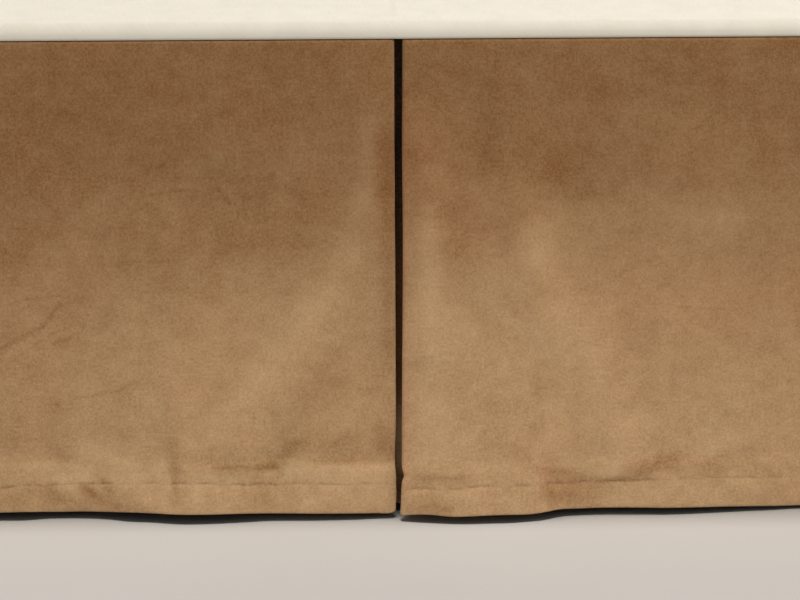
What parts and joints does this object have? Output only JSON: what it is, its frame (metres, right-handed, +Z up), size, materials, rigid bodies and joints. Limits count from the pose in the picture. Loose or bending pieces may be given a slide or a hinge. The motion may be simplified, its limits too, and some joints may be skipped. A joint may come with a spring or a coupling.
{
  "type": "bed skirt on a box spring",
  "caption": "Tailored bed skirt of brushed cloth, with flat hemmed drops and an inverted box pleat in each side, hanging just above the floor round a plain box spring on legs.",
  "frame": {"origin": "on the floor under the middle of the bed skirt's deck", "axes": "+Y from the foot of the bed to its head, +X to the right as seen from the foot, +Z up"},
  "size_m": [1.551, 2.0399, 0.3825],
  "materials": {
    "skirt_cloth": "brushed faux suede with a soft, uneven nap",
    "deck_cloth": "plain woven cotton",
    "ticking": "plain woven ticking",
    "leg_wood": "dark stained, satin"
  },
  "bodies": {
    "root": {"foot_drop": "skirt_cloth", "left_drop": "skirt_cloth", "right_drop": "skirt_cloth", "deck": "deck_cloth", "box_spring": "ticking", "leg_foot_left": "leg_wood", "leg_foot_right": "leg_wood", "leg_middle_left": "leg_wood", "leg_middle_right": "leg_wood", "leg_head_left": "leg_wood", "leg_head_right": "leg_wood"}
  },
  "joints": []
}
